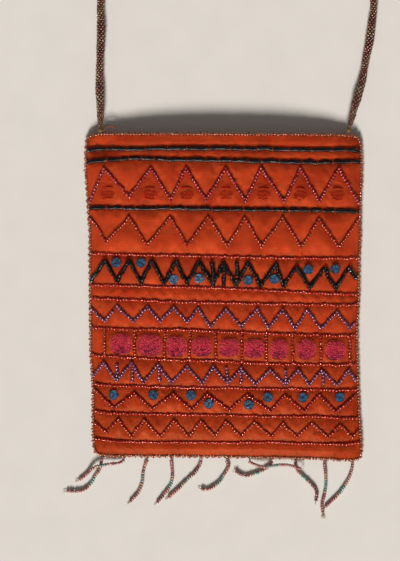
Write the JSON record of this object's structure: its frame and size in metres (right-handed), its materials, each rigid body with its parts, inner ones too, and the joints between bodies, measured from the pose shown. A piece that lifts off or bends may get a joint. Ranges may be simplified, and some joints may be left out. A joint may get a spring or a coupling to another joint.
{
  "type": "beaded satin shoulder pouch",
  "caption": "Flat satin pouch with rows and zigzags of beads, sequins, a beaded edge, a bead fringe and a long beaded rope strap, lying on its back.",
  "frame": {"origin": "middle of the back panel's flat resting face", "axes": "+Z out of the beaded front, +Y from the hem to the open mouth and the strap, +X to the right as the front is seen"},
  "size_m": [0.1647, 0.3576, 0.0128],
  "materials": {
    "orange_satin": "satin",
    "buckram": "matte",
    "cotton_lining": "matte",
    "pink_silk": "satin",
    "black_glass": "gloss",
    "red_glass": "gloss",
    "crimson_glass": "gloss",
    "copper_glass": "gloss",
    "violet_glass": "gloss",
    "amber_glass": "gloss",
    "fringe_glass": "gloss",
    "blue_sequin": "gloss",
    "bead_rope": "gloss",
    "rope_binding": "satin",
    "red_thread": "matte"
  },
  "bodies": {
    "pouch": {"front_panel": "orange_satin", "front_interlining": "buckram", "front_lining": "cotton_lining", "back_panel": "orange_satin", "back_lining": "cotton_lining", "edge_beading": "amber_glass", "black_row_1": "black_glass", "black_row_2": "black_glass", "black_row_3": "black_glass", "red_row_1": "red_glass", "red_row_2": "red_glass", "red_row_3": "red_glass", "red_row_4": "red_glass", "red_row_5": "red_glass", "red_row_6": "red_glass", "ladder_rows": "red_glass", "crimson_zigzag": "crimson_glass", "copper_zigzag_upper": "copper_glass", "black_zigzag": "black_glass", "violet_zigzag_upper": "violet_glass", "violet_zigzag_lower": "violet_glass", "red_zigzag": "red_glass", "copper_zigzag_lower": "copper_glass", "sequin_01": "blue_sequin", "sequin_02": "blue_sequin", "sequin_03": "blue_sequin", "sequin_04": "blue_sequin", "sequin_05": "blue_sequin", "sequin_06": "blue_sequin", "sequin_07": "blue_sequin", "sequin_08": "blue_sequin", "sequin_09": "blue_sequin", "sequin_10": "blue_sequin", "sequin_11": "blue_sequin", "sequin_12": "blue_sequin", "sequin_13": "blue_sequin", "sequin_14": "blue_sequin", "sequin_15": "blue_sequin", "sequin_16": "blue_sequin", "thread_loop": "red_thread"},
    "strap": {"strap_end_left": "rope_binding", "strap_end_right": "rope_binding", "strap_left": "bead_rope", "strap_coil": "bead_rope", "strap_right": "bead_rope"},
    "fringe_group_1": {"fringe_01": "fringe_glass", "fringe_02": "fringe_glass"},
    "fringe_group_2": {"fringe_03": "fringe_glass"},
    "fringe_group_3": {"fringe_04": "fringe_glass", "fringe_05": "fringe_glass"},
    "fringe_group_4": {"fringe_06": "fringe_glass"},
    "fringe_group_5": {"fringe_07": "fringe_glass", "fringe_08": "fringe_glass", "fringe_09": "fringe_glass"},
    "fringe_group_6": {"fringe_10": "fringe_glass", "fringe_11": "fringe_glass"}
  },
  "joints": [
    {"name": "strap_swing", "type": "hinge", "parent": "pouch", "child": "strap", "pos_m": [0, 0.0875, 0.005], "axis": [1, 0, 0], "range_deg": [0, 90]},
    {"name": "fringe_lift_1", "type": "hinge", "parent": "pouch", "child": "fringe_group_1", "pos_m": [-0.05268, -0.08563, 0.00215], "axis": [-1, 0, 0], "range_deg": [0, 90]},
    {"name": "fringe_lift_2", "type": "hinge", "parent": "pouch", "child": "fringe_group_2", "pos_m": [-0.04058, -0.08585, 0.00215], "axis": [-1, 0, 0], "range_deg": [0, 90]},
    {"name": "fringe_lift_3", "type": "hinge", "parent": "pouch", "child": "fringe_group_3", "pos_m": [-0.01208, -0.08635, 0.00215], "axis": [-1, 0, 0], "range_deg": [0, 90]},
    {"name": "fringe_lift_4", "type": "hinge", "parent": "pouch", "child": "fringe_group_4", "pos_m": [0.00155, -0.08659, 0.00215], "axis": [-1, 0, 0], "range_deg": [0, 90]},
    {"name": "fringe_lift_5", "type": "hinge", "parent": "pouch", "child": "fringe_group_5", "pos_m": [0.03784, -0.08723, 0.00215], "axis": [-1, 0, 0], "range_deg": [0, 90]},
    {"name": "fringe_lift_6", "type": "hinge", "parent": "pouch", "child": "fringe_group_6", "pos_m": [0.053, -0.0875, 0.00215], "axis": [-1, 0, 0], "range_deg": [0, 90]}
  ]
}
